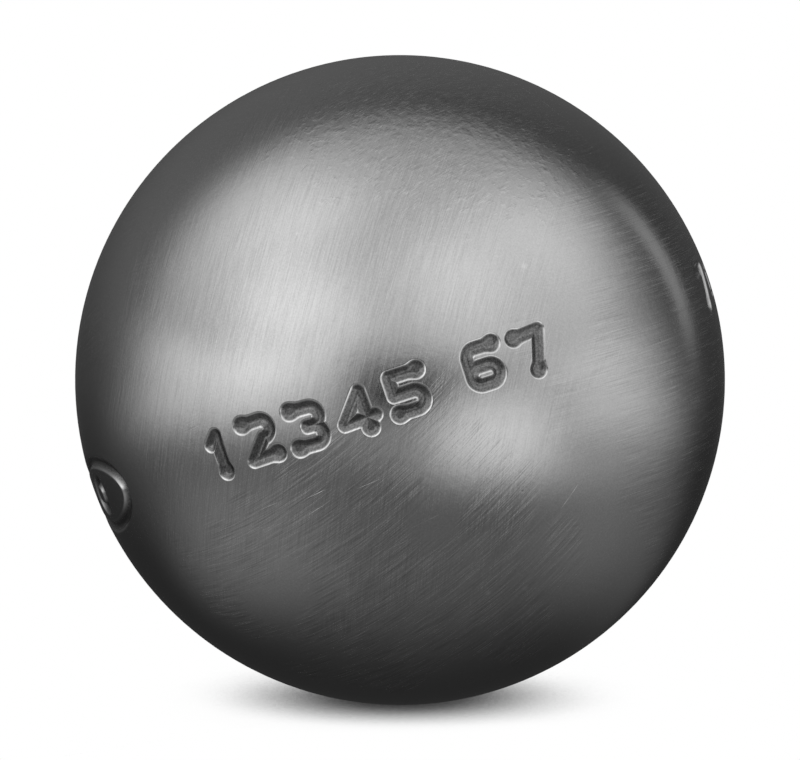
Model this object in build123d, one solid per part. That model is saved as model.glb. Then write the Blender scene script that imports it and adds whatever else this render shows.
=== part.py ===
from build123d import *
import os
from math import atan, cos, degrees, sin, sqrt, tan, radians

# A petanque boule: a hollow steel ball of two half shells, joined by a weld that is ground flush.
# Lengths are in millimetres and angles in degrees. The origin is the middle of the ball, +Z is up,
# and the row of figures faces -Y.

# Driving dimensions of the ball
ball_diameter = 74.0
wall = 6.15

# Weld: the rims butt on a root face at the inside, and the groove outside it is filled with metal
root_face = 1.8        # height of the butt face, from the inside of the wall outwards
root_width = 1.0       # width of the groove at its bottom
groove_angle = 30.0    # slope of each groove side from the plane of the weld
weld_turn = 52.0       # turn of the plane of the weld about Z, from the front towards +X

# Belt: the great circle that all stamped marks follow round the ball
belt_lift = 3.4        # height of the belt above the horizon at the front
belt_tilt = 18.6       # climb of the belt towards +X

# Figures: each one is struck with a flat punch
figure_height = 5.9
figure_width = 4.9
stroke_width = 1.3
end_width = 1.8        # flared end of a stroke
figure_depth = 0.5     # at the middle of a figure
figure_pitch = 5.8     # from one figure to the next along the belt
group_gap = 2.9        # extra space between two groups of figures
struck_lean = 2.4      # most that a figure leans, because each one is struck by hand
struck_rise = 0.22     # most that a figure sits above or below the belt

# Places of the marks along the belt, from the front towards +X
row_start = -34.5      # middle of the first figure of the row
weight_start = 76.0    # middle of the first figure of the weight
weight_drop = 0.5      # how far the weight sits below the belt
oval_place = -75.6     # middle of the plain oval mark
oval_drop = 1.15       # how far it sits below the belt

# Oval mark: a plain oval with a plain ring in it, struck as deep and as wide as the figures' strokes
oval_length = 18.0     # along the belt, to the middle of its stroke
oval_height = 7.8
ring_diameter = 3.4

tool_reach = 1.0       # how far a cutting shape stands out of the ball

# Sizes that follow from them
ball_radius = ball_diameter / 2
inner_radius = ball_radius - wall
root_radius = inner_radius + root_face
root_half = root_width / 2


def groove_rim():
    """The point where a groove side meets the ball: distance from the weld's axis, and along it."""
    slope = tan(radians(groove_angle))
    start = root_half - slope * root_radius
    a = 1 + slope**2
    b = 2 * slope * start
    c = start**2 - ball_radius**2
    away = (-b + sqrt(b**2 - 4 * a * c)) / (2 * a)
    return away, start + slope * away


rim_away, rim_along = groove_rim()


def on_ball(radius, angle):
    """A point of a circle round the ball's middle, in the plane that is turned into a solid."""
    return (radius * cos(radians(angle)), 0, radius * sin(radians(angle)))


# The weld's own frame: local Z is the axis of the weld and points out of the front shell's pole
weld_place = Plane.XZ.location * Rot(Y=weld_turn - 90)


def half_shell():
    """A cup with its pole on local +Z: outer and inner face, root face and one side of the groove."""
    rim_angle = degrees(atan(rim_along / rim_away))
    middle_angle = (90 + rim_angle) / 2
    pole = (0, 0, ball_radius)
    rim = (rim_away, 0, rim_along)
    root_top = (root_radius, 0, root_half)
    root_bottom = (root_radius, 0, 0)
    inside = (inner_radius, 0, 0)
    inner_pole = (0, 0, inner_radius)
    outline = [
        ThreePointArc(pole, on_ball(ball_radius, middle_angle), rim),
        Line(rim, root_top),
        Line(root_top, root_bottom),
        Line(root_bottom, inside),
        ThreePointArc(inside, on_ball(inner_radius, 45), inner_pole),
        Line(inner_pole, pole),
    ]
    return revolve(Face(Wire(outline)), Axis.Z, 360)


def bead():
    """The ring of weld metal: it fills the groove and ends flush with the ball."""
    rim = (rim_away, 0, rim_along)
    far_rim = (rim_away, 0, -rim_along)
    root_top = (root_radius, 0, root_half)
    far_root = (root_radius, 0, -root_half)
    outline = [
        Line(far_root, root_top),
        Line(root_top, rim),
        ThreePointArc(rim, on_ball(ball_radius, 0), far_rim),
        Line(far_rim, far_root),
    ]
    return revolve(Face(Wire(outline)), Axis.Z, 360)


# Figures, drawn as strokes inside a box that leaves room for the stroke's own width
half_wide = (figure_width - end_width) / 2
half_high = (figure_height - end_width) / 2
bowl = half_high / 2             # radius of a bowl that is half as high as the figure
stem_place = half_wide / 3       # stem of a one, right of the middle
four_stem = half_wide / 2        # a four is wider than the others, to keep a clear space in it
four_left = -1.2 * half_wide
four_right = 1.1 * half_wide
four_bar = -0.45 * half_high


def right_bowl(height):
    """Half a round, open to the left, with its middle at this height."""
    return CenterArc((half_wide - bowl, height), bowl, -90, 180)


def left_bowl(height):
    return CenterArc((bowl - half_wide, height), bowl, 90, 180)


def figure_one():
    flag = half_wide * 0.6
    return [
        Line((stem_place, -half_high), (stem_place, half_high)),
        Line((stem_place - flag, half_high - flag), (stem_place, half_high)),
    ]


def figure_two():
    return [
        Line((-half_wide, half_high), (half_wide - bowl, half_high)),
        right_bowl(bowl),
        Line((half_wide - bowl, 0), (-half_wide, -half_high)),
        Line((-half_wide, -half_high), (half_wide, -half_high)),
    ]


def figure_three():
    return [
        Line((-half_wide, half_high), (half_wide - bowl, half_high)),
        right_bowl(bowl),
        Line((0, 0), (half_wide - bowl, 0)),
        right_bowl(-bowl),
        Line((half_wide - bowl, -half_high), (-half_wide, -half_high)),
    ]


def figure_four():
    return [
        Line((four_stem, half_high), (four_stem, -half_high)),
        Line((four_stem, half_high), (four_left, four_bar)),
        Line((four_left, four_bar), (four_right, four_bar)),
    ]


def figure_five():
    return [
        Line((half_wide, half_high), (-half_wide, half_high)),
        Line((-half_wide, half_high), (-half_wide, 0)),
        Line((-half_wide, 0), (half_wide - bowl, 0)),
        right_bowl(-bowl),
        Line((half_wide - bowl, -half_high), (-half_wide, -half_high)),
    ]


def figure_six():
    return [
        Line((half_wide, half_high), (bowl - half_wide, half_high)),
        CenterArc((bowl - half_wide, bowl), bowl, 90, 90),
        Line((-half_wide, bowl), (-half_wide, -bowl)),
        left_bowl(-bowl),
        Line((bowl - half_wide, 0), (half_wide - bowl, 0)),
        right_bowl(-bowl),
        Line((half_wide - bowl, -half_high), (bowl - half_wide, -half_high)),
    ]


def figure_seven():
    return [
        Line((-half_wide, half_high), (half_wide, half_high)),
        Line((half_wide, half_high), (0, -half_high)),
    ]


def figure_zero():
    side = half_high - half_wide
    return [
        CenterArc((0, side), half_wide, 0, 180),
        Line((-half_wide, side), (-half_wide, -side)),
        CenterArc((0, -side), half_wide, 180, 180),
        Line((half_wide, -side), (half_wide, side)),
    ]


FIGURES = {
    "0": figure_zero, "1": figure_one, "2": figure_two, "3": figure_three,
    "4": figure_four, "5": figure_five, "6": figure_six, "7": figure_seven,
}


def free_ends(lines):
    """The ends of strokes that stand clear of every other stroke."""
    ends = []
    for line in lines:
        others = [other for other in lines if other is not line]
        for end in (line @ 0, line @ 1):
            if min(other.distance_to(end) for other in others) > stroke_width:
                ends.append(end)
    return ends


def figure_face(name):
    """The punch's face: every stroke at its width, with flared free ends."""
    lines = FIGURES[name]()
    face = Sketch()
    for line in lines:
        face += SlotArc(line, stroke_width)
    for end in free_ends(lines):
        face += Pos(end.X, end.Y) * Circle(end_width / 2)
    return face


def on_belt(longitude):
    """A place inside the ball, looking out at this longitude of the belt, with local X along it."""
    return Plane.XZ.location * Rot(X=-belt_lift) * Rot(Z=belt_tilt) * Rot(Y=longitude)


def struck_figures(words, start, drop=0.0):
    """The solids that punches take out of the ball for groups of figures along the belt."""
    solids = []
    along = 0.0
    for group in words.split():
        for name in group:
            longitude = start + degrees(along / ball_radius)
            lean = struck_lean * sin(2.4 * len(solids))
            lift = degrees((struck_rise * sin(1.7 * len(solids)) - drop) / ball_radius)
            floor = on_belt(longitude) * Rot(X=-lift) * Rot(Z=lean) * Pos(Z=ball_radius - figure_depth)
            solids.append(extrude(floor * figure_face(name), figure_depth + tool_reach))
            along += figure_pitch
        along += group_gap
    return solids


def struck_oval(longitude):
    """The solid that the oval mark takes out of the ball."""
    face = Ellipse((oval_length + stroke_width) / 2, (oval_height + stroke_width) / 2)
    face -= Ellipse((oval_length - stroke_width) / 2, (oval_height - stroke_width) / 2)
    face += Circle((ring_diameter + stroke_width) / 2) - Circle((ring_diameter - stroke_width) / 2)
    tubes = extrude(face, ball_radius + tool_reach)
    drop = degrees(oval_drop / ball_radius)
    return on_belt(longitude) * Rot(X=drop) * (tubes - Sphere(ball_radius - figure_depth))


front_half_shell = weld_place * half_shell()
for figure in struck_figures("12345 67", row_start):
    front_half_shell -= figure
front_half_shell -= struck_oval(oval_place)

rear_half_shell = weld_place * Rot(X=180) * half_shell()
for figure in struck_figures("700", weight_start, weight_drop):
    rear_half_shell -= figure

weld_bead = weld_place * bead()

os.makedirs("parts", exist_ok=True)
nodes = {
    "front_half_shell": front_half_shell,
    "rear_half_shell": rear_half_shell,
    "weld_bead": weld_bead,
}
for name, solid in nodes.items():
    export_step(solid, f"parts/{name}.step")
    print(name, round(solid.volume, 1), "mm3")
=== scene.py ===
# %% [markdown]
# # A petanque boule
# A boule is a hollow steel ball that is thrown at a jack. Two pressed cups are welded rim to rim, the
# weld is ground flush, figures are struck into the ball with punches, and it is ground satin.
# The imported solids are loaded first, as a fixed frame. Everything else is made in that frame, in
# metres, with the middle of the ball at the origin.

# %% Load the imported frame
import math

import bpy
import numpy as np
from mathutils import Matrix, Vector


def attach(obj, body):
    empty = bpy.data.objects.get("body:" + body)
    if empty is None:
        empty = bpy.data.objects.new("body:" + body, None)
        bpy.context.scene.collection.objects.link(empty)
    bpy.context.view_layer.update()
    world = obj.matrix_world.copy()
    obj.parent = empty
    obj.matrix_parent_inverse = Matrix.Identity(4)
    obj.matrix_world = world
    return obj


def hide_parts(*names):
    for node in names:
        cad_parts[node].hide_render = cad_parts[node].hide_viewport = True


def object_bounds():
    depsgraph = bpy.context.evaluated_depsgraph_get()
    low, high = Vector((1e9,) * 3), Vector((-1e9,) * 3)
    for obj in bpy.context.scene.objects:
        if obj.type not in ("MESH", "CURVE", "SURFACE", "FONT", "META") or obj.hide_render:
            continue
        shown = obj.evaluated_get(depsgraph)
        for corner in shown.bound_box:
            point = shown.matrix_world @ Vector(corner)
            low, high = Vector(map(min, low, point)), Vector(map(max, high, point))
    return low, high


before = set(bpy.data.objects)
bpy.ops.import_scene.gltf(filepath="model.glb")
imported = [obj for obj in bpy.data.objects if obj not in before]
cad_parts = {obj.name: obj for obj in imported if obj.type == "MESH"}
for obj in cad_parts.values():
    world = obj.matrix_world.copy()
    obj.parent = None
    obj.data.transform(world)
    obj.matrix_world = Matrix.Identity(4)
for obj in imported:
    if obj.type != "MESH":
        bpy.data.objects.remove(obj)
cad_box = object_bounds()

MM = 0.001
print("nodes in the frame:", sorted(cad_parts))

# %% [markdown]
# ## Sizes
# The radius of the ball comes from the frame. The wall and the weld groove can't be seen from outside,
# so their sizes are repeated from the part's source: the rims butt on a root face at the inside, and a
# groove with sloping sides is filled with weld metal.

# %% Sizes of the ball, its wall and its weld
ball_radius = min(cad_box[1][i] - cad_box[0][i] for i in range(3)) / 2
wall = 6.15 * MM
root_face = 1.8 * MM
root_half = 0.5 * MM
groove_angle = math.radians(30)
weld_turn = math.radians(52)
inner_radius = ball_radius - wall
root_radius = inner_radius + root_face


def groove_rim():
    """Where a groove side meets the ball: distance from the weld's axis, and along it."""
    slope = math.tan(groove_angle)
    start = root_half - slope * root_radius
    a = 1 + slope**2
    b = 2 * slope * start
    c = start**2 - ball_radius**2
    away = (-b + math.sqrt(b**2 - 4 * a * c)) / (2 * a)
    return away, start + slope * away


rim_away, rim_along = groove_rim()
print("ball radius", round(ball_radius / MM, 3), "mm, weld half width", round(rim_along / MM, 3), "mm")

# %% [markdown]
# ## Camera
# The photograph is a product shot from a little above, with a long lens. The ball's limb in the
# picture is 325 pixels from its middle, so the lens follows from the distance. A short lens from near
# by could give that size too, but a long one shows nearly half of the ball, as the photograph does.

# %% Camera
image_width = 800
limb_pixels = 325
camera_distance = 0.6
camera_rise = math.radians(6)
sensor_width = 36
limb_tangent = math.tan(math.asin(ball_radius / camera_distance))

bpy.ops.object.select_all(action="DESELECT")
bpy.ops.object.camera_add()
camera = bpy.context.object
camera.name = "product_camera"
camera.location = (0, -camera_distance * math.cos(camera_rise), camera_distance * math.sin(camera_rise))
camera.rotation_euler = (math.pi / 2 - camera_rise, 0, 0)
camera.data.sensor_width = sensor_width
camera.data.lens = sensor_width * limb_pixels / limb_tangent / image_width
bpy.context.scene.camera = camera
print("lens", round(camera.data.lens, 1), "mm")

# %% [markdown]
# ## Helpers for nodes
# Materials here are small sums over the surface. Short helpers add one node each: any node, a sum of
# numbers, a sum of vectors or a smooth step. A value that isn't a socket is set on the input. Two more
# make a group with named sockets and place it, so that a sum which repeats is written only once.

# %% Helpers that add one node
VALUE_RESULTS = ("DOT_PRODUCT", "LENGTH", "DISTANCE")


def feed(tree, value, socket):
    if isinstance(value, bpy.types.NodeSocket):
        tree.links.new(value, socket)
    else:
        socket.default_value = value


def add_node(tree, kind, **settings):
    node = tree.nodes.new("ShaderNode" + kind)
    for name, value in settings.items():
        setattr(node, name, value)
    return node


def number(tree, operation, *values, clamp=False):
    node = add_node(tree, "Math", operation=operation, use_clamp=clamp)
    for value, socket in zip(values, node.inputs):
        feed(tree, value, socket)
    return node.outputs[0]


def vector(tree, operation, *values):
    node = add_node(tree, "VectorMath", operation=operation)
    sockets = [node.inputs[0], node.inputs["Scale"]] if operation == "SCALE" else node.inputs
    for value, socket in zip(values, sockets):
        feed(tree, value, socket)
    return node.outputs["Value" if operation in VALUE_RESULTS else "Vector"]


def ramp(tree, value, low, high, start=0.0, end=1.0):
    """A smooth step: start below low, end above high."""
    node = add_node(tree, "MapRange", interpolation_type="SMOOTHSTEP")
    inputs = {"Value": value, "From Min": low, "From Max": high, "To Min": start, "To Max": end}
    for name, put in inputs.items():
        feed(tree, put, node.inputs[name])
    return node.outputs["Result"]


print("vector sums that give a number:", VALUE_RESULTS)

# %% Helpers for groups of nodes
def new_group(name, inputs, outputs):
    """A shader node group with named sockets; inputs are numbers or vectors."""
    tree = bpy.data.node_groups.new(name, "ShaderNodeTree")
    for title, kind in inputs:
        tree.interface.new_socket(title, in_out="INPUT", socket_type="NodeSocket" + kind)
    for title in outputs:
        tree.interface.new_socket(title, in_out="OUTPUT", socket_type="NodeSocketFloat")
    source = tree.nodes.new("NodeGroupInput")
    result = tree.nodes.new("NodeGroupOutput")
    return tree, source.outputs, result.inputs


def use_group(tree, group, **values):
    """Places a group in a material and feeds its inputs; an underscore in a name is a space."""
    node = add_node(tree, "Group", node_tree=group)
    for name, value in values.items():
        feed(tree, value, node.inputs[name.replace("_", " ")])
    return node.outputs[0]


print("groups so far:", len(bpy.data.node_groups))

# %% [markdown]
# ## White ground
# The photograph has a pure white ground. A white floor under lamps would turn grey away from them, so
# the floor and the world give off white light instead, at a strength of 1, to the rays that Light Path
# names: those of the camera, of reflections and of clear materials.

# %% White world
WHITE_RAYS = ("Is Camera Ray", "Is Glossy Ray", "Is Transmission Ray")
dim_world = 0.5


def white_rays(tree):
    """1 for the rays that see white ground, 0 for all others."""
    path = add_node(tree, "LightPath")
    first = number(tree, "MAXIMUM", path.outputs[WHITE_RAYS[0]], path.outputs[WHITE_RAYS[1]])
    return number(tree, "MAXIMUM", first, path.outputs[WHITE_RAYS[2]])


scene = bpy.context.scene
scene.view_settings.view_transform = "Standard"
world = bpy.data.worlds.new("white_studio")
scene.world = world
world.use_nodes = True
world.cycles.sampling_method = "NONE"
background = world.node_tree.nodes["Background"]
background.inputs["Color"].default_value = (1, 1, 1, 1)
level = ramp(world.node_tree, white_rays(world.node_tree), 0, 1, dim_world, 1.0)
feed(world.node_tree, level, background.inputs["Strength"])
print("world: white to", len(WHITE_RAYS), "kinds of rays, and", dim_world, "to the others")

# %% [markdown]
# ## Floor and contact shadow
# A small dark shadow lies where the ball touches the ground. It comes from Ambient Occlusion, which
# darkens the floor where the ball is close above it. The direction that it looks in leans towards the
# camera, so the shadow reaches a little further to the front, as in the photograph.

# %% Floor
floor_size = 8.0
bpy.ops.object.select_all(action="DESELECT")
bpy.ops.mesh.primitive_plane_add(size=floor_size, location=(0, 0, -ball_radius))
floor = bpy.context.object
floor.name = "studio_floor"
print("floor", floor_size, "m wide,", round(-floor.location.z / MM, 2), "mm below the middle of the ball")

# %% Floor paint with the contact shadow
shadow_samples = 16
shadow_reach = 0.15
shadow_tone = 0.01
shadow_start = 0.02
shadow_end = 0.42
shadow_lean = (0, -0.24, 0.97)

floor_paint = bpy.data.materials.new("white_floor")
floor_paint.use_nodes = True
floor_paint.cycles.emission_sampling = "NONE"
tree = floor_paint.node_tree
tree.nodes.clear()
nearness = add_node(tree, "AmbientOcclusion", samples=shadow_samples)
nearness.inputs["Distance"].default_value = shadow_reach
lean = add_node(tree, "CombineXYZ")
for axis_value, socket in zip(shadow_lean, lean.inputs):
    socket.default_value = axis_value
feed(tree, lean.outputs[0], nearness.inputs["Normal"])
shade = ramp(tree, nearness.outputs["AO"], shadow_start, shadow_end, shadow_tone, 1.0)
glow = add_node(tree, "Emission")
feed(tree, shade, glow.inputs["Color"])
matt = add_node(tree, "BsdfDiffuse")
either = add_node(tree, "MixShader")
feed(tree, white_rays(tree), either.inputs[0])
feed(tree, matt.outputs[0], either.inputs[1])
feed(tree, glow.outputs[0], either.inputs[2])
output = add_node(tree, "OutputMaterial")
feed(tree, either.outputs[0], output.inputs["Surface"])
floor.data.materials.append(floor_paint)
print("floor paint:", len(tree.nodes), "nodes")

# %% [markdown]
# ## Light tent
# A polished ball mirrors the whole room, so it is photographed in a cloth tent: lamps behind the cloth
# make soft bright areas, and the cloth stays dim low down and behind. Area lamps could do this too,
# but their edges are hard in steel. Here the tent is a dome with a flat floor cloth, and each lamp is
# a soft patch of light on it, which fades with the angle from its middle.

# %% Tent patch group
tent_inputs = [("Direction", "Vector"), ("Ahead", "Vector"), ("Right", "Vector"), ("Up", "Vector"),
               ("Half width", "Float"), ("Half height", "Float"), ("Edge", "Float"), ("Strength", "Float")]
tent_patch, given, made = new_group("tent_patch", tent_inputs, ["Light"])
ahead = vector(tent_patch, "DOT_PRODUCT", given["Direction"], given["Ahead"])
right = vector(tent_patch, "DOT_PRODUCT", given["Direction"], given["Right"])
up = vector(tent_patch, "DOT_PRODUCT", given["Direction"], given["Up"])
across = number(tent_patch, "ABSOLUTE", number(tent_patch, "ARCTAN2", right, ahead))
rising = number(tent_patch, "ABSOLUTE", number(tent_patch, "ARCSINE", up))
across = number(tent_patch, "DIVIDE", across, given["Half width"])
across = number(tent_patch, "POWER", across, given["Edge"])
rising = number(tent_patch, "DIVIDE", rising, given["Half height"])
rising = number(tent_patch, "POWER", rising, given["Edge"])
fade = number(tent_patch, "MULTIPLY", number(tent_patch, "ADD", across, rising), -1.0)
light = number(tent_patch, "MULTIPLY", number(tent_patch, "EXPONENT", fade), given["Strength"])
feed(tent_patch, light, made["Light"])
print("tent patch group:", len(tent_patch.nodes), "nodes")

# %% [markdown]
# ## Lamps
# Where the ball's surface tilts away from the camera, it mirrors a direction that is tilted twice as
# far. So each lamp can be placed from the bright area that it makes on the ball: banks at both sides
# and a roof for the bright middle, a strip for the line near the right limb, and weak light low down.
# The camera is mirrored as a dim spot, which is a lamp with a strength below zero.

# %% Lamps of the tent
lamp_edge = 3.0
# Each lamp: turn to the right of the camera, rise, half width and half height in degrees, then its
# strength
TENT_LAMPS = {
    "roof": (0, 88, 60, 22, 0.45),
    "left_bank": (-70, 35, 30, 35, 0.5),
    "left_low": (-65, 0, 38, 12, 0.55),
    "left_front": (-40, 20, 25, 20, 0.5),
    "right_bank": (55, 32, 38, 30, 0.7),
    "right_side": (75, 0, 30, 12, 0.4),
    "right_low": (30, -10, 20, 12, 0.6),
    "right_strip": (125, 18, 5, 15, 0.3),
    "front_fill": (-10, 40, 40, 35, 0.65),
    "camera_shade": (0, 5, 20, 10, -0.25),
    "low_band": (40, -15, 70, 10, 0.2),
    "low_front": (0, -30, 110, 25, 0.12),
    "low_left": (-50, -35, 25, 15, 0.1),
    "low_right": (80, -30, 30, 20, 0.1),
    "back_glow": (-150, 35, 55, 35, 0.12),
}


def lamp_axes(turn, rise):
    """Directions from the ball: to the lamp, to its right and to its top."""
    turn, rise = math.radians(turn), math.radians(rise)
    to_lamp = Vector((math.cos(rise) * math.sin(turn), -math.cos(rise) * math.cos(turn), math.sin(rise)))
    lamp_right = Vector((math.cos(turn), math.sin(turn), 0))
    lamp_up = Vector((-math.sin(rise) * math.sin(turn), math.sin(rise) * math.cos(turn), math.cos(rise)))
    return to_lamp, lamp_right, lamp_up


print("lamps:", ", ".join(TENT_LAMPS))

# %% [markdown]
# ## The tent itself
# The dome is a sphere that is cut off just above the floor, and the cut is filled as the floor cloth.
# Only reflections see it: to the camera, to shadows and to soft light it isn't there.

# %% Dome with a floor cloth
tent_radius = 1.5
tent_segments = 64
tent_rings = 32
cloth_gap = 0.3 * MM
cloth_height = cloth_gap - ball_radius

bpy.ops.object.select_all(action="DESELECT")
bpy.ops.mesh.primitive_uv_sphere_add(segments=tent_segments, ring_count=tent_rings, radius=tent_radius)
tent = bpy.context.object
tent.name = "light_tent"
bpy.ops.object.mode_set(mode="EDIT")
bpy.ops.mesh.select_all(action="SELECT")
bpy.ops.mesh.bisect(plane_co=(0, 0, cloth_height), plane_no=(0, 0, 1), use_fill=True, clear_inner=True)
bpy.ops.object.mode_set(mode="OBJECT")
for kind in ("camera", "diffuse", "transmission", "shadow", "volume_scatter"):
    setattr(tent, "visible_" + kind, False)
print("tent:", len(tent.data.polygons), "faces")

# %% Cloth that glows where the lamps are
tent_glow = 0.03

cloth = bpy.data.materials.new("tent_cloth")
cloth.use_nodes = True
cloth.cycles.emission_sampling = "NONE"
tree = cloth.node_tree
tree.nodes.clear()
place = add_node(tree, "TexCoord").outputs["Object"]
direction = vector(tree, "NORMALIZE", place)
total = tent_glow
for turn, rise, half_width, half_height, strength in TENT_LAMPS.values():
    to_lamp, lamp_right, lamp_up = lamp_axes(turn, rise)
    patch = use_group(tree, tent_patch, Direction=direction, Ahead=to_lamp, Right=lamp_right, Up=lamp_up,
                      Half_width=math.radians(half_width), Half_height=math.radians(half_height),
                      Edge=lamp_edge, Strength=strength)
    total = number(tree, "ADD", total, patch)
total = number(tree, "MAXIMUM", total, 0.0)
glow = add_node(tree, "Emission")
feed(tree, total, glow.inputs["Color"])
output = add_node(tree, "OutputMaterial")
feed(tree, glow.outputs[0], output.inputs["Surface"])
tent.data.materials.append(cloth)
print("tent with", len(TENT_LAMPS), "patches of light")

# %% [markdown]
# ## Where the marks are
# All marks follow one great circle of the ball, the belt, which climbs to the right. A place on the
# belt is a turn of the ball: its axes are along the belt, across it, and out of the ball.

# %% Places on the ball
belt_lift = math.radians(3.4)
belt_tilt = math.radians(18.6)
front_axes = Matrix(((1, 0, 0), (0, 0, -1), (0, 1, 0)))


def on_belt(longitude):
    """Rows: the direction along the belt, across it and outwards, at a longitude in degrees."""
    lifted = front_axes @ Matrix.Rotation(-belt_lift, 3, "X") @ Matrix.Rotation(belt_tilt, 3, "Z")
    return np.array((lifted @ Matrix.Rotation(math.radians(longitude), 3, "Y")).transposed())


def on_ball(turn, rise):
    """The outward direction at a turn to the right of the front and a rise, in degrees."""
    turn, rise = math.radians(turn), math.radians(rise)
    return np.array((math.cos(rise) * math.sin(turn), -math.cos(rise) * math.cos(turn), math.sin(rise)))


print("front of the belt:", np.round(on_belt(0)[2], 3))

# %% [markdown]
# ## Figures
# Each figure is struck with one punch, whose lines are bars and bows with flared ends. The distance
# from a point to the nearest line gives the whole shape of the dent, so a figure is kept as its lines.
# Text made into a mesh would give sharp flat letters; a struck figure has soft shoulders.

# %% Sizes of a figure, in millimetres
stroke_half = 0.8
end_half = 1.04
half_wide = 1.55
half_high = 2.05
bowl = half_high / 2
stem = half_wide / 3
flag = half_wide * 0.6
four_stem = half_wide / 2
four_left = -1.2 * half_wide
four_right = 1.1 * half_wide
four_bar = -0.45 * half_high
zero_side = half_high - half_wide
inset_x = half_wide - bowl
print("figure", round(2 * (half_wide + stroke_half), 2), "by", round(2 * (half_high + stroke_half), 2), "mm")


# %% Lines of the figures
def bar(x1, y1, x2, y2):
    return ("bar", x1, y1, x2, y2)


def bow(x, y, radius, start, sweep):
    return ("bow", x, y, radius, start, sweep)


FIGURE_LINES = {
    "0": [bow(0, zero_side, half_wide, 0, 180), bow(0, -zero_side, half_wide, 180, 180),
          bar(-half_wide, zero_side, -half_wide, -zero_side),
          bar(half_wide, -zero_side, half_wide, zero_side)],
    "1": [bar(stem, -half_high, stem, half_high), bar(stem - flag, half_high - flag, stem, half_high)],
    "2": [bar(-half_wide, half_high, inset_x, half_high), bow(inset_x, bowl, bowl, -90, 180),
          bar(inset_x, 0, -half_wide, -half_high), bar(-half_wide, -half_high, half_wide, -half_high)],
    "3": [bar(-half_wide, half_high, inset_x, half_high), bow(inset_x, bowl, bowl, -90, 180),
          bar(0, 0, inset_x, 0),
          bow(inset_x, -bowl, bowl, -90, 180), bar(inset_x, -half_high, -half_wide, -half_high)],
    "4": [bar(four_stem, half_high, four_stem, -half_high), bar(four_stem, half_high, four_left, four_bar),
          bar(four_left, four_bar, four_right, four_bar)],
    "5": [bar(half_wide, half_high, -half_wide, half_high), bar(-half_wide, half_high, -half_wide, 0),
          bar(-half_wide, 0, inset_x, 0), bow(inset_x, -bowl, bowl, -90, 180),
          bar(inset_x, -half_high, -half_wide, -half_high)],
    "6": [bar(half_wide, half_high, -inset_x, half_high), bow(-inset_x, bowl, bowl, 90, 90),
          bar(-half_wide, bowl, -half_wide, -bowl), bow(-inset_x, -bowl, bowl, 90, 180),
          bar(-inset_x, 0, inset_x, 0),
          bow(inset_x, -bowl, bowl, -90, 180), bar(inset_x, -half_high, -inset_x, -half_high)],
    "7": [bar(-half_wide, half_high, half_wide, half_high), bar(half_wide, half_high, 0, -half_high)],
}
print("figures:", " ".join(FIGURE_LINES))

# %% Flared ends of the figures
FREE_ENDS = {
    "0": [],
    "1": [(stem, -half_high)],
    "2": [(-half_wide, half_high), (half_wide, -half_high)],
    "3": [(-half_wide, half_high), (-half_wide, -half_high)],
    "4": [(four_stem, -half_high)],
    "5": [(half_wide, half_high), (-half_wide, -half_high)],
    "6": [(half_wide, half_high)],
    "7": [(-half_wide, half_high), (0, -half_high)],
}
print("flared ends:", sum(len(ends) for ends in FREE_ENDS.values()))

# %% [markdown]
# ## Distance to a figure
# The distance to a bar is measured square to it, or to its nearer end. The distance to a bow is measured
# from its circle, or from its nearer tip. A flared end is a disc that melts into the stroke: the smaller
# of two distances has a sharp corner where they are equal, so that corner is rounded.

# %% Distance from points to a figure
flare_blend = 0.35


def line_distance(line, x, y):
    """Distance from points to a bar or a bow."""
    if line[0] == "bar":
        x1, y1, x2, y2 = line[1:]
        run_x, run_y = x2 - x1, y2 - y1
        share = np.clip(((x - x1) * run_x + (y - y1) * run_y) / (run_x**2 + run_y**2), 0, 1)
        return np.hypot(x - x1 - share * run_x, y - y1 - share * run_y)
    middle_x, middle_y, radius, start, sweep = line[1:]
    dx, dy = x - middle_x, y - middle_y
    beyond = (np.degrees(np.arctan2(dy, dx)) - start) % 360 > sweep
    tips = [math.radians(start), math.radians(start + sweep)]
    to_tips = [np.hypot(dx - radius * math.cos(tip), dy - radius * math.sin(tip)) for tip in tips]
    return np.where(beyond, np.minimum(*to_tips), np.abs(np.hypot(dx, dy) - radius))


def soft_minimum(one, other, width):
    """The smaller of two values, with the corner between them rounded over a width."""
    blend = np.clip(0.5 + 0.5 * (one - other) / width, 0, 1)
    return one * (1 - blend) + other * blend - width * blend * (1 - blend)


def figure_gap(name, x, y):
    """Distance to the edge of a figure's strokes, below zero inside them."""
    gap = np.min([line_distance(line, x, y) for line in FIGURE_LINES[name]], axis=0) - stroke_half
    for end_x, end_y in FREE_ENDS[name]:
        flare = np.hypot(x - end_x, y - end_y) - end_half
        gap = soft_minimum(gap, flare, flare_blend)
    return gap


print("gap in the middle of a zero:", round(float(figure_gap("0", np.zeros(1), np.zeros(1))[0]), 2), "mm")

# %% [markdown]
# ## Places of the figures
# The figures stand in groups along the belt, one punch beside the other. Each punch is held by hand, so
# every figure leans and rises a little. A sine of the figure's count gives uneven steps that are the
# same in each run, where random numbers would need a seed.

# %% Place of each figure
figure_pitch = 5.8
group_gap = 2.9
struck_lean = math.radians(2.4)
struck_rise = 0.22
lean_step = 2.4
rise_step = 1.7
radius_mm = ball_radius / MM
# Each row: its figures, where it starts along the belt in degrees, how far below the belt in millimetres
FIGURE_ROWS = [("12345 67", -34.5, 0.0), ("700", 76.0, 0.5)]


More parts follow.
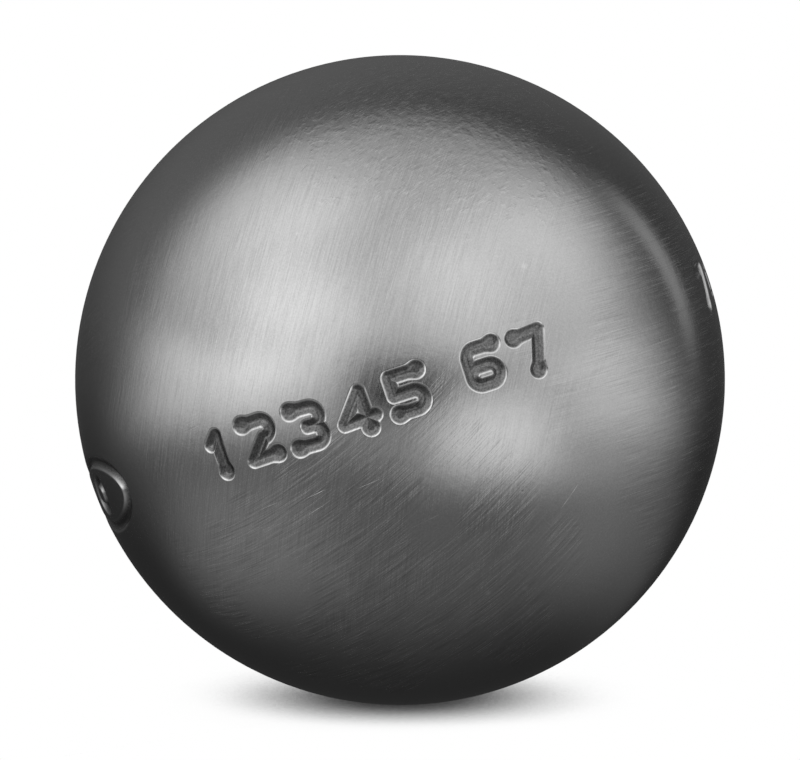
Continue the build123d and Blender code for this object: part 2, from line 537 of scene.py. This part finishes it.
def figure_places():
    """Each figure's name and axes, group by group along the belt."""
    places = []
    for words, start, drop in FIGURE_ROWS:
        along = 0.0
        count = 0
        for group in words.split():
            for name in group:
                lean = Matrix.Rotation(struck_lean * math.sin(lean_step * count), 3, "Z")
                rise = struck_rise * math.sin(rise_step * count)
                lift = Matrix.Rotation((drop - rise) / radius_mm, 3, "X")
                place = Matrix(on_belt(start + math.degrees(along / radius_mm))).transposed() @ lift @ lean
                places.append((name, np.array(place.transposed())))
                along += figure_pitch
                count += 1
            along += group_gap
    return places


PLACES = figure_places()
print("figures in place:", "".join(name for name, axes in PLACES))

# %% [markdown]
# ## Depth of the marks
# A punch goes half a millimetre deep. Its walls slope like a V, so little floor is left between them,
# and the edge rolls over softly into the ball. The oval mark and its ring have the same walls. Small
# dings from play are soft pits. One function gives the depth of all of them at any point of the ball,
# which a cut with solids couldn't: it would leave hard edges.

# %% Depth of one stroke
figure_depth = 0.52
wall_slope = 0.74
shoulder_start = 0.12
shoulder_width = 0.17
floor_round = 0.12


def trough(gap, floor):
    """Depth of a stroke: a soft shoulder, a straight sloping wall, and the floor that stops it."""
    inward = np.maximum(shoulder_start - gap, 0)
    curve = np.where(inward < shoulder_width, inward**2 / (2 * shoulder_width), inward - shoulder_width / 2)
    return soft_minimum(floor, wall_slope * curve, floor_round)


print("depth in the middle of a stroke:", round(float(trough(-stroke_half, figure_depth)), 3), "mm")

# %% Sizes and places of the oval mark and the dings
oval_place = -75.6
oval_drop = 1.15
oval_half_length = 9.0
oval_half_height = 3.9
ring_radius = 1.7
DROPPED = Matrix(on_belt(oval_place)).transposed() @ Matrix.Rotation(oval_drop / radius_mm, 3, "X")
OVAL = np.array(DROPPED.transposed())
# Each ding: turn and rise in degrees, radius and depth in millimetres
DINGS = [
    (-20.5, 31, 0.25, 0.012), (23.5, 25, 0.5, 0.012), (18, -33, 0.4, 0.015),
    (26, -32.5, 0.4, 0.015), (95, -20, 0.6, 0.04), (150, 25, 0.7, 0.05),
    (-130, -15, 0.6, 0.04), (200, -35, 0.5, 0.04), (60, 62, 0.5, 0.03),
]
print("one oval mark at", np.round(OVAL[2], 2), "and", len(DINGS), "dings")

# %% Gaps to the oval mark
far_gap = 99.0
least_growth = 1e-9


def oval_gaps(directions):
    """Gaps to the edge of the oval line and to the edge of the ring inside it."""
    x, y, z = (directions @ OVAL.T).T * radius_mm
    reach = np.hypot(x / oval_half_length, y / oval_half_height)
    growth = np.maximum(np.hypot(x / oval_half_length**2, y / oval_half_height**2), least_growth)
    off_oval = np.abs(reach - 1) * reach / growth
    off_ring = np.abs(np.hypot(x, y) - ring_radius)
    return [np.where(z > 0, off - stroke_half, far_gap) for off in (off_oval, off_ring)]


print("gap from the oval's middle to its ring:", round(float(oval_gaps(OVAL[2:])[1][0]), 2), "mm")

# %% Depth of all marks
figure_reach = 5.0
ding_reach = 2


def struck(directions):
    """For outward directions: depth in millimetres, and the gap to the edge of the nearest mark."""
    depth = np.zeros(len(directions))
    nearest = np.full(len(directions), far_gap)
    for name, axes in PLACES:
        x, y, z = (directions @ axes.T).T * radius_mm
        near = np.flatnonzero((z > 0) & (np.hypot(x, y) < figure_reach))
        if len(near) == 0:
            continue
        gap = figure_gap(name, x[near], y[near])
        flat = np.maximum(z[near] - (radius_mm - figure_depth), floor_round)
        depth[near] = np.maximum(depth[near], trough(gap, flat))
        nearest[near] = np.minimum(nearest[near], gap)
    for gap in oval_gaps(directions):
        depth = np.maximum(depth, trough(gap, figure_depth))
        nearest = np.minimum(nearest, gap)
    for turn, rise, radius, deep in DINGS:
        off = np.linalg.norm(directions - on_ball(turn, rise), axis=1) * radius_mm
        depth += deep * np.exp(-((off / radius) ** 2))
        nearest = np.minimum(nearest, off - ding_reach * radius)
    return depth, nearest


print(len(PLACES), "figures, one oval mark and", len(DINGS), "dings")

# %% [markdown]
# ## Half shells
# Each cup is pressed from a steel blank, and its rim is turned to a groove side and a root face. An
# ico sphere has even triangles all over, which a UV sphere hasn't, so it takes fine marks anywhere. It
# is cut at the weld's rim, and the rim is extruded down the groove to the root. A smaller sphere, cut in
# half, is the inside of the cup, and the flat ring between the two open rims is filled. Bridging them
# could pair points across the opening, because the rims have different numbers of points.

# %% Helpers for a cup
same_place = 0.001 * MM
weld_angle = weld_turn - math.pi / 2
weld_axes = Matrix(((math.cos(weld_angle), 0, math.sin(weld_angle)),
                    (math.sin(weld_angle), 0, -math.cos(weld_angle)),
                    (0, 1, 0)))


def half_ball(levels, radius, cut):
    """An ico sphere with all below the height of the cut taken off; its open rim stays selected."""
    bpy.ops.object.select_all(action="DESELECT")
    bpy.ops.mesh.primitive_ico_sphere_add(subdivisions=levels, radius=radius)
    bpy.ops.object.mode_set(mode="EDIT")
    bpy.ops.mesh.select_all(action="SELECT")
    bpy.ops.mesh.bisect(plane_co=(0, 0, cut), plane_no=(0, 0, 1), clear_inner=True)
    return bpy.context.object


def ring_to(mesh, height, radius):
    """Puts the points at a height exactly on a circle."""
    for point in mesh.vertices:
        if abs(point.co.z - height) < same_place:
            flat = point.co.xy.normalized() * radius
            point.co = (flat.x, flat.y, height)


print("the weld's axis:", [round(row[2], 3) for row in weld_axes])

# %% Outside of a cup
skin_levels = 6


def cup_outside(name):
    """The skin of a cup, with the groove side and the root face of its rim."""
    shell = half_ball(skin_levels, ball_radius, rim_along)
    shell.name = name
    bpy.ops.mesh.extrude_edges_move(TRANSFORM_OT_translate={"value": (0, 0, root_half - rim_along)})
    bpy.ops.mesh.extrude_edges_move(TRANSFORM_OT_translate={"value": (0, 0, -root_half)})
    bpy.ops.object.mode_set(mode="OBJECT")
    ring_to(shell.data, rim_along, rim_away)
    ring_to(shell.data, root_half, root_radius)
    ring_to(shell.data, 0, root_radius)
    print(name, "outside:", len(shell.data.polygons), "faces")
    return shell


# %% Make the two cups
inside_levels = 5


def add_inside(shell):
    """Joins the inside to a cup and fills the flat ring between the two open rims."""
    inside = half_ball(inside_levels, inner_radius, 0)
    bpy.ops.object.mode_set(mode="OBJECT")
    ring_to(inside.data, 0, inner_radius)
    bpy.ops.object.select_all(action="DESELECT")
    inside.select_set(True)
    shell.select_set(True)
    bpy.context.view_layer.objects.active = shell
    bpy.ops.object.join()
    bpy.ops.object.mode_set(mode="EDIT")
    bpy.ops.mesh.select_all(action="DESELECT")
    bpy.ops.mesh.select_mode(type="EDGE")
    bpy.ops.mesh.select_non_manifold()
    bpy.ops.mesh.fill(use_beauty=True)
    bpy.ops.mesh.select_all(action="SELECT")
    bpy.ops.mesh.normals_make_consistent(inside=False)
    bpy.ops.object.mode_set(mode="OBJECT")


def cup(name, flip):
    """A whole cup, turned to its side of the weld."""
    shell = cup_outside(name)
    add_inside(shell)
    turned = weld_axes @ Matrix.Rotation(math.pi if flip else 0, 3, "X")
    shell.data.transform(turned.to_4x4())
    return shell


front_shell = cup("front_half_shell_ground", False)
rear_shell = cup("rear_half_shell_ground", True)
print("cups:", len(front_shell.data.polygons), "and", len(rear_shell.data.polygons), "faces")

# %% [markdown]
# ## Finer faces near the marks
# A dent of half a millimetre needs points closer than a tenth of one, but only near the marks. So the
# faces there are subdivided again and again, each time nearer to the edges. A fine sphere all over
# would need far more triangles. New points lie on flat faces, so they are moved out to the ball again.

# %% Refine near the marks
REFINE_REACHES = (1.6, 1.0, 0.75, 0.42)
skin_margin = 0.05 * MM


def skin_points(mesh):
    """All points of a mesh, and their distances from the middle of the ball."""
    points = np.empty(len(mesh.vertices) * 3)
    mesh.vertices.foreach_get("co", points)
    points = points.reshape(-1, 3)
    reach = np.linalg.norm(points, axis=1)
    return points, reach


def refine(shell, reach):
    """Subdivides the skin's faces that are nearer to a mark than the reach, and rounds them again."""
    mesh = shell.data
    centres = np.empty(len(mesh.polygons) * 3)
    mesh.polygons.foreach_get("center", centres)
    centres = centres.reshape(-1, 3)
    away = np.linalg.norm(centres, axis=1)
    near = (struck(centres / away[:, None])[1] < reach) & (away > ball_radius - skin_margin)
    mesh.vertices.foreach_set("select", np.zeros(len(mesh.vertices), bool))
    mesh.edges.foreach_set("select", np.zeros(len(mesh.edges), bool))
    mesh.polygons.foreach_set("select", near)
    bpy.ops.object.select_all(action="DESELECT")
    shell.select_set(True)
    bpy.context.view_layer.objects.active = shell
    bpy.ops.object.mode_set(mode="EDIT")
    bpy.ops.mesh.select_mode(type="FACE")
    bpy.ops.mesh.subdivide(number_cuts=1, ngon=False)
    bpy.ops.object.mode_set(mode="OBJECT")
    points, away = skin_points(mesh)
    skin = away > ball_radius - skin_margin
    points[skin] *= (ball_radius / away[skin])[:, None]
    mesh.vertices.foreach_set("co", points.ravel())
    mesh.update()


for shell in (front_shell, rear_shell):
    for reach in REFINE_REACHES:
        refine(shell, reach)
    print(shell.name, "refined to", len(shell.data.polygons), "faces")

# %% [markdown]
# ## Shading of the struck skin
# Shading follows the slope of the depth itself and not the triangles, so the plain ball stays a true
# sphere in its reflections. The slope is measured by a small step to both sides, in two directions.
# The inside of the cup is shaded round, and the faces of the rim stay flat.

# %% Normals from the slope of the depth
slope_step = 0.02
# Where the skin looks up or down by more than this share, the x axis helps in place of the z axis
steep_limit = 0.9


def slope_normals(directions):
    """Outward normals of the struck skin, from the slope of the depth in two directions."""
    helper = np.where(np.abs(directions[:, 2:]) < steep_limit, (0, 0, 1), (1, 0, 0))
    side = np.cross(helper, directions)
    side /= np.linalg.norm(side, axis=1)[:, None]
    over = np.cross(directions, side)
    normals = directions.copy()
    for way in (side, over):
        step = way * slope_step / radius_mm
        ahead = directions + step
        behind = directions - step
        ahead /= np.linalg.norm(ahead, axis=1)[:, None]
        behind /= np.linalg.norm(behind, axis=1)[:, None]
        slope = (struck(ahead)[0] - struck(behind)[0]) / (2 * slope_step)
        normals += way * slope[:, None]
    return normals / np.linalg.norm(normals, axis=1)[:, None]


print("normal at the front of the belt:", np.round(slope_normals(on_belt(0)[2:])[0], 3))


# %% Put normals on a mesh
def face_corners(mesh):
    """For each corner of the faces: its point, its face and that face's own normal."""
    corner_point = np.empty(len(mesh.loops), int)
    mesh.loops.foreach_get("vertex_index", corner_point)
    corners = np.empty(len(mesh.polygons), int)
    mesh.polygons.foreach_get("loop_total", corners)
    facing = np.empty(len(mesh.polygons) * 3)
    mesh.polygons.foreach_get("normal", facing)
    facing = np.repeat(facing.reshape(-1, 3), corners, axis=0)
    face = np.repeat(np.arange(len(mesh.polygons)), corners)
    return corner_point, face, facing


def whole_faces(mesh, face, picked):
    """True for the faces that have all their corners picked."""
    whole = np.ones(len(mesh.polygons), bool)
    np.logical_and.at(whole, face, picked)
    return whole


def put_normals(mesh, skin, normals):
    """The skin's faces take the given normals; the inside is round; the rim's faces stay flat."""
    mesh.shade_smooth()
    corner_point, face, facing = face_corners(mesh)
    points, away = skin_points(mesh)
    inside = np.abs(away - inner_radius) < skin_margin
    all_skin = whole_faces(mesh, face, skin[corner_point])
    all_inside = whole_faces(mesh, face, inside[corner_point])
    result = np.where(all_skin[face][:, None], normals[corner_point], facing)
    inward = -points / away[:, None]
    result = np.where(all_inside[face][:, None], inward[corner_point], result)
    mesh.normals_split_custom_set(result)
    print("normals on", int(all_skin.sum()), "faces of skin and", int(all_inside.sum()), "inside")


# %% [markdown]
# ## Strike the marks
# Every point of the skin is pushed in by its depth. An attribute keeps how deep each point was struck,
# times a share of painted shade: the troughs are painted darker as painted shade, and the marks on the
# sides get less of it than those at the front.

# %% Strike both shells
# Share of the painted shade in the troughs for the marks on the sides of the belt
side_painted_shade = 0.4
# Cosine of the angle from the front of the belt, within which a mark is at the front
front_limit = 0.5


def strike(shell):
    mesh = shell.data
    points, away = skin_points(mesh)
    skin = away > ball_radius - skin_margin
    directions = points / away[:, None]
    depth = struck(directions)[0]
    normals = slope_normals(directions)
    points[skin] -= directions[skin] * (depth[skin] * MM)[:, None]
    mesh.vertices.foreach_set("co", points.ravel())
    mesh.update()
    put_normals(mesh, skin, normals)
    # Painted shade in the troughs: full for the marks at the front, less for those on the sides
    painted_shade = np.where(directions @ on_belt(0)[2] > front_limit, 1.0, side_painted_shade)
    mark = mesh.attributes.new("struck_depth_and_shade", "FLOAT", "POINT")
    mark.data.foreach_set("value", np.where(skin, painted_shade * np.clip(depth / figure_depth, 0, 1), 0.0))
    triangles = sum(len(face.vertices) - 2 for face in mesh.polygons)
    print(shell.name, triangles, "triangles, deepest mark", round(depth[skin].max(), 3), "mm")


for shell, node in ((front_shell, "front_half_shell"), (rear_shell, "rear_half_shell")):
    strike(shell)
    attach(shell, "root")
    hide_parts(node)

# %% [markdown]
# ## Weld bead
# The weld metal is a ring that fills the groove. Its cross-section is a flat root, two sloping sides
# and a crown that is ground to the ball's own curve. A spin of that outline round the weld's axis makes
# the ring, and a full turn closes itself. A torus would need its shape pushed into the groove afterwards.

# %% Weld bead
bead_steps = 288
crown_steps = 8
rim_angle = math.atan2(rim_along, rim_away)
outline = [(root_radius, 0, -root_half), (root_radius, 0, root_half)]
for step in range(crown_steps + 1):
    angle = rim_angle * (1 - 2 * step / crown_steps)
    outline.append((ball_radius * math.cos(angle), 0, ball_radius * math.sin(angle)))

bpy.ops.object.select_all(action="DESELECT")
bpy.ops.mesh.primitive_circle_add(vertices=len(outline), radius=MM)
bead = bpy.context.object
bead.name = "weld_bead_ground"
for point, place in zip(bead.data.vertices, outline):
    point.co = place
bpy.ops.object.mode_set(mode="EDIT")
bpy.ops.mesh.select_all(action="SELECT")
bpy.ops.mesh.spin(steps=bead_steps, angle=2 * math.pi, center=(0, 0, 0), axis=(0, 0, 1))
bpy.ops.mesh.select_all(action="SELECT")
bpy.ops.mesh.normals_make_consistent(inside=False)
bpy.ops.object.mode_set(mode="OBJECT")
bead.data.transform(weld_axes.to_4x4())
bead_points, bead_away = skin_points(bead.data)
put_normals(bead.data, bead_away > ball_radius - skin_margin, bead_points / bead_away[:, None])
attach(bead, "root")
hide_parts("weld_bead")
print("bead:", len(bead.data.polygons), "faces")

# %% [markdown]
# ## Grinding lines
# The last grinding leaves fine lines that run round the ball in small circles, one family for each way
# it was held. Noise that is squeezed along an axis gives such lines: they are as long as the noise is
# stretched, and lie in planes square to the axis. A mask fades each family out, so that others show.

# %% Group for lines
line_roughness = 0.65
noise_middle = 0.5
line_inputs = [("Place", "Vector"), ("Axis", "Vector"), ("Spacing", "Float"), ("Length", "Float"),
               ("Detail", "Float")]
grinding_lines, given, made = new_group("grinding_lines", line_inputs, ["Lines"])
along = vector(grinding_lines, "DOT_PRODUCT", given["Place"], given["Axis"])
long_part = number(grinding_lines, "DIVIDE", 1.0, given["Length"])
fine_part = number(grinding_lines, "DIVIDE", 1.0, given["Spacing"])
extra = number(grinding_lines, "MULTIPLY", along, number(grinding_lines, "SUBTRACT", fine_part, long_part))
stretched = vector(grinding_lines, "ADD", vector(grinding_lines, "SCALE", given["Place"], long_part),
                   vector(grinding_lines, "SCALE", given["Axis"], extra))
grain = add_node(grinding_lines, "TexNoise")
feed(grinding_lines, stretched, grain.inputs["Vector"])
feed(grinding_lines, given["Detail"], grain.inputs["Detail"])
grain.inputs["Scale"].default_value = 1.0
grain.inputs["Roughness"].default_value = line_roughness
feed(grinding_lines, number(grinding_lines, "SUBTRACT", grain.outputs["Fac"], noise_middle), made["Lines"])
print("lines group:", len(grinding_lines.nodes), "nodes")

# %% Group for the patch that a family covers
patch_inputs = [("Place", "Vector"), ("Middle", "Vector"), ("Uneven", "Float"), ("Inner", "Float"),
                ("Outer", "Float")]
held_patch, given, made = new_group("held_patch", patch_inputs, ["Mask"])
facing = vector(held_patch, "DOT_PRODUCT", vector(held_patch, "NORMALIZE", given["Place"]), given["Middle"])
shifted = number(held_patch, "ADD", facing, given["Uneven"])
feed(held_patch, ramp(held_patch, shifted, given["Outer"], given["Inner"]), made["Mask"])
print("patch group:", len(held_patch.nodes), "nodes")

# %% [markdown]
# ## Scratches and pits
# Play leaves single scratches and small pits. A scratch is a short straight run, so the distance to that
# run gives its groove, which fades out at both ends. Pits are the middles of Voronoi cells, and only
# some of the cells have one.

# %% Group for a scratch
# A share times what is left of it is a quarter at most, so four times that is 1 in the middle
middle_gain = 4.0
scratch_inputs = [("Place", "Vector"), ("Start", "Vector"), ("Run", "Vector"), ("Half width", "Float")]
single_scratch, given, made = new_group("single_scratch", scratch_inputs, ["Mask"])
offset = vector(single_scratch, "SUBTRACT", given["Place"], given["Start"])
share = number(single_scratch, "DIVIDE", vector(single_scratch, "DOT_PRODUCT", offset, given["Run"]),
               vector(single_scratch, "DOT_PRODUCT", given["Run"], given["Run"]), clamp=True)
off_line = vector(single_scratch, "SUBTRACT", offset, vector(single_scratch, "SCALE", given["Run"], share))
to_ends = number(single_scratch, "MULTIPLY", share, number(single_scratch, "SUBTRACT", 1.0, share))
full_middle = number(single_scratch, "MULTIPLY", to_ends, middle_gain)
width = vector(single_scratch, "LENGTH", off_line)
feed(single_scratch, ramp(single_scratch, width, 0.0, given["Half width"], full_middle, 0.0), made["Mask"])
print("scratch group:", len(single_scratch.nodes), "nodes")

# %% Group for pits
pit_inputs = [("Place", "Vector"), ("Density", "Float"), ("Size", "Float"), ("Rare", "Float")]
small_pits, given, made = new_group("small_pits", pit_inputs, ["Mask"])
cells = add_node(small_pits, "TexVoronoi")
feed(small_pits, given["Place"], cells.inputs["Vector"])
feed(small_pits, given["Density"], cells.inputs["Scale"])
chance = add_node(small_pits, "SeparateColor")
feed(small_pits, cells.outputs["Color"], chance.inputs[0])
has_pit = number(small_pits, "GREATER_THAN", chance.outputs[0], given["Rare"])
reach = number(small_pits, "MULTIPLY", given["Size"], chance.outputs[1])
bowl_shape = ramp(small_pits, cells.outputs["Distance"], 0.0, reach, 1.0, 0.0)
feed(small_pits, number(small_pits, "MULTIPLY", has_pit, bowl_shape), made["Mask"])
print("groups:", [group.name for group in bpy.data.node_groups])

# %% [markdown]
# ## Lines all over the ball
# The families meet and cross: upright lines on the upper left, lines that climb to the right below,
# nearly level ones on the right, and two more at the back. Broad noise makes the edges of their
# patches uneven.

# %% Families of grinding lines
line_spacing = 0.10
line_detail = 1.0
uneven_size = 9.0
uneven_detail = 1.0
uneven_share = 0.8
# Each family: axis of its circles, middle of the patch that it covers, cosines of the angles from there
# at which it is full and gone, then the length of its lines in millimetres and its strength
FAMILIES = [
    ((-1, 0.2, 0.2), (-0.25, -0.92, 0.2), 0.85, 0.55, 4.0, 0.65),
    ((-1, -0.5, 1), (0.0, -0.84, -0.54), 0.93, 0.8, 4.0, 1.35),
    ((-0.2, 0, 1), (0.9, -0.4, 0.1), 0.92, 0.7, 5.0, 0.85),
    ((0.3, 0.5, 0.81), (-0.7, 0.6, 0.3), 0.9, 0.2, 5.0, 0.7),
    ((0.8, -0.5, 0.33), (0.5, 0.8, -0.3), 0.9, 0.2, 5.0, 0.7),
]


def noise(tree, place, size, detail):
    """Noise around zero, with spots of about a size in millimetres."""
    node = add_node(tree, "TexNoise")
    feed(tree, place, node.inputs["Vector"])
    node.inputs["Scale"].default_value = 1 / size
    node.inputs["Detail"].default_value = detail
    return number(tree, "SUBTRACT", node.outputs["Fac"], noise_middle)


def line_families(tree, place):
    """All grinding lines of the ball, around zero."""
    uneven = number(tree, "MULTIPLY", noise(tree, place, uneven_size, uneven_detail), uneven_share)
    lines = 0.0
    for axis, middle, inner, outer, length, strength in FAMILIES:
        axis, middle = Vector(axis).normalized(), Vector(middle).normalized()
        fine = use_group(tree, grinding_lines, Place=place, Axis=axis, Spacing=line_spacing,
                         Length=length, Detail=line_detail)
        mask = use_group(tree, held_patch, Place=place, Middle=middle, Uneven=uneven,
                         Inner=inner, Outer=outer)
        lines = number(tree, "MULTIPLY_ADD", number(tree, "MULTIPLY", fine, mask), strength, lines)
    return lines


print("families of lines:", len(FAMILIES))

# %% [markdown]
# ## Worn upper edge
# The ball is worn rough on its upper edge, where short scuffs cross and the surface is wavy. The scuffs
# are one more set of lines, which a mask keeps to that place.

# %% Worn edge with scuffs
wear_uneven = 0.3
# Middle of the wear, and cosines of the angles from there at which it is full and gone
TOP_WEAR = ((0.12, -0.5, 0.86), 0.97, 0.89)
# Axis of the scuffs' circles, their length in millimetres and their strength
SCUFFS = ((-1, 1, 0.5), 1.2, 1.0)


def worn_edge(tree, place, waves):
    """Where the ball is worn, from 0 to 1."""
    middle, inner, outer = TOP_WEAR
    uneven = number(tree, "MULTIPLY", waves, wear_uneven)
    return use_group(tree, held_patch, Place=place, Middle=Vector(middle).normalized(), Uneven=uneven,
                     Inner=inner, Outer=outer)


def add_scuffs(tree, place, wear, lines):
    """The lines with the scuffs of the worn edge added."""
    axis, length, strength = SCUFFS
    scuffs = use_group(tree, grinding_lines, Place=place, Axis=Vector(axis).normalized(),
                       Spacing=line_spacing, Length=length, Detail=line_detail)
    return number(tree, "MULTIPLY_ADD", number(tree, "MULTIPLY", scuffs, wear), strength, lines)


print("worn edge round", TOP_WEAR[0])

# %% [markdown]
# ## Scratches from play
# Most scratches lie below the row of figures and climb to the right. Each one is a run between two
# places on the ball.

# %% Scratches one by one
# Each scratch: turn and rise of its two ends in degrees, half width in millimetres
SCRATCHES = [
    ((-16.5, -14.5), (-12.5, -12.5), 0.06), ((-25.5, -17), (-21, -15), 0.06),
    ((-16.5, -17.5), (-12.5, -15), 0.05), ((-16.5, -19), (-10.5, -16), 0.06),
    ((-25, -21), (-19.5, -18.5), 0.05), ((-11.5, -26.5), (-5.5, -23), 0.07),
    ((-20.5, -33), (-14, -30), 0.05), ((0.5, -32), (4.5, -29.5), 0.05),
    ((-2, -23.5), (2, -21.5), 0.05), ((-7.5, -12.5), (-3, -10.5), 0.05),
    ((2, -19.5), (7, -17), 0.05), ((29.5, -17), (32.5, -12.5), 0.05),
    ((-24, 43), (-22.5, 45.5), 0.05), ((-10.5, -20), (-4.5, -17), 0.045),
    ((165, 10), (171, 13), 0.05), ((-110, -30), (-105, -28), 0.05),
]


# The same mask gives each scratch its groove and its painted glint
def play_scratches(tree, place):
    """The scratches one by one, as grooves from 0 to 1."""
    grooves = 0.0
    for start, end, half_width in SCRATCHES:
        first = Vector(on_ball(*start) * radius_mm)
        run = Vector(on_ball(*end) * radius_mm) - first
        one = use_group(tree, single_scratch, Place=place, Start=first, Run=run, Half_width=half_width)
        grooves = number(tree, "ADD", grooves, one)
    return grooves


print("scratches:", len(SCRATCHES))

# %% [markdown]
# ## Tone of the steel
# The steel is grey, and lines and grain make it lighter or darker in places. Scratches are painted
# lighter, as a painted glint. The floors of the marks were never ground, so they are mottled; they are
# also painted darker, as painted shade in the troughs. The lip round each mark is painted lighter, as a
# painted highlight.

# %% Floors and lips of the marks
floor_from = 0.10
floor_full = 0.34
# Band of the lip round each mark, in shares of the struck depth; it is painted lighter as a painted
# highlight
lip_full = 0.05
lip_fade = 0.08
lip_gone = 0.2


# The floor mask carries painted shade as well as mottle, roughness and bumps; the lip mask carries a painted
# highlight
def struck_masks(tree):
    """Where the floors and the lips of the marks are, from 0 to 1."""
    inside = add_node(tree, "Attribute", attribute_name="struck_depth_and_shade").outputs["Fac"]
    floors = ramp(tree, inside, floor_from, floor_full)
    rising = ramp(tree, inside, 0.0, lip_full)
    falling = ramp(tree, inside, lip_fade, lip_gone, 1.0, 0.0)
    return floors, number(tree, "MULTIPLY", rising, falling)


print("a floor starts at", floor_from, "of the depth, a lip ends at", lip_gone)

# %% Tone
steel_grey = 0.55
plain_mottle = 0.16
floor_mottle = 0.7
line_tone = 0.45
# How much lighter the scratches are painted, as a painted glint
scratch_painted_glint = 0.3
# How much darker the floors of the marks are painted, as painted shade
mark_floor_painted_shade = 0.64
# How much lighter the lip round each mark is painted, as a painted highlight
lip_painted_highlight = 0.4


def steel_tone(tree, lines, fine_grain, scratches, floors, lip):
    mottle = number(tree, "MULTIPLY_ADD", floors, floor_mottle, plain_mottle)
    grey = number(tree, "MULTIPLY_ADD", fine_grain, mottle, steel_grey)
    grey = number(tree, "MULTIPLY_ADD", lines, line_tone, grey)
    # Painted glint: the scratches are painted lighter
    grey = number(tree, "MULTIPLY_ADD", scratches, scratch_painted_glint, grey)
    # Painted shade: the floors of the marks are painted darker
    grey = number(tree, "MULTIPLY", grey, number(tree, "MULTIPLY_ADD", floors, -mark_floor_painted_shade, 1.0))
    # Painted highlight: the lip round each mark is painted lighter
    return number(tree, "MULTIPLY", grey, number(tree, "MULTIPLY_ADD", lip, lip_painted_highlight, 1.0))


print("grey of the steel:", steel_grey)

# %% [markdown]
# ## Gloss and height of the steel
# Grinding leaves the steel satin. The crests of the lines and the floors of the marks are rougher. The
# height of lines, grain, waves, pits and scratches is a few hundredths of a millimetre at most. That is
# too fine for the points of a mesh, so it only bends the reflections.

# %% Gloss
steel_gloss = 0.14
crest_matt = 0.6
grain_matt = 0.12
floor_matt = 0.16


def steel_roughness(tree, lines, fine_grain, floors):
    crests = number(tree, "MAXIMUM", lines, 0.0)
    gloss = number(tree, "MULTIPLY_ADD", crests, crest_matt, steel_gloss)
    gloss = number(tree, "MULTIPLY_ADD", fine_grain, grain_matt, gloss)
    return number(tree, "MULTIPLY_ADD", floors, floor_matt, gloss)


print("roughness of the plain steel:", steel_gloss)

# %% Height, in millimetres
line_relief = 0.002
grain_relief = 0.0025
wave_relief = 0.010
pit_relief = 0.008
scratch_relief = 0.02
floor_grain = 5
worn_waves = 4


def steel_height(tree, lines, fine_grain, waves, wear, pits, scratches, floors):
    height = number(tree, "MULTIPLY", lines, line_relief)
    grain_height = number(tree, "MULTIPLY_ADD", floors, floor_grain * grain_relief, grain_relief)
    height = number(tree, "MULTIPLY_ADD", fine_grain, grain_height, height)
    wave_height = number(tree, "MULTIPLY_ADD", wear, worn_waves * wave_relief, wave_relief)
    height = number(tree, "MULTIPLY_ADD", waves, wave_height, height)
    height = number(tree, "MULTIPLY_ADD", pits, -pit_relief, height)
    return number(tree, "MULTIPLY_ADD", scratches, -scratch_relief, height)


print("depth of a scratch:", scratch_relief, "mm")

# %% [markdown]
# ## Satin steel
# One function puts the finish together for the shells and for the weld, because the ground weld can't
# be told from the shells. Bare metal mirrors more at its limb; a tint a little below white there keeps
# the edge of the ball somewhat darker.

# %% Satin steel
edge_tint = (0.9, 0.9, 0.9, 1)
grain_size = 0.2
grain_detail = 1.0
wave_size = 1.0
wave_detail = 2.0
pit_density = 0.45
pit_size = 0.14
pit_rare = 0.85


def satin_steel(name):
    steel = bpy.data.materials.new(name)
    steel.use_nodes = True
    tree = steel.node_tree
    shader = tree.nodes["Principled BSDF"]
    shader.inputs["Metallic"].default_value = 1.0
    shader.inputs["Specular Tint"].default_value = edge_tint
    metres = add_node(tree, "TexCoord").outputs["Object"]
    place = vector(tree, "SCALE", metres, 1 / MM)
    lines = line_families(tree, place)
    fine_grain = noise(tree, place, grain_size, grain_detail)
    waves = noise(tree, place, wave_size, wave_detail)
    scratches = play_scratches(tree, place)
    wear = worn_edge(tree, place, waves)
    lines = add_scuffs(tree, place, wear, lines)
    pits = use_group(tree, small_pits, Place=place, Density=pit_density, Size=pit_size, Rare=pit_rare)
    floors, lip = struck_masks(tree)
    grey = steel_tone(tree, lines, fine_grain, scratches, floors, lip)
    feed(tree, grey, shader.inputs["Base Color"])
    gloss = steel_roughness(tree, lines, fine_grain, floors)
    feed(tree, gloss, shader.inputs["Roughness"])
    height = steel_height(tree, lines, fine_grain, waves, wear, pits, scratches, floors)
    bump = add_node(tree, "Bump")
    bump.inputs["Distance"].default_value = MM
    feed(tree, height, bump.inputs["Height"])
    feed(tree, bump.outputs["Normal"], shader.inputs["Normal"])
    return steel


ground_steel = satin_steel("satin_ground_steel")
weld_steel = satin_steel("satin_weld_steel")
for piece, finish in ((front_shell, ground_steel), (rear_shell, ground_steel), (bead, weld_steel)):
    piece.data.materials.clear()
    piece.data.materials.append(finish)
print("steel:", len(ground_steel.node_tree.nodes), "nodes")
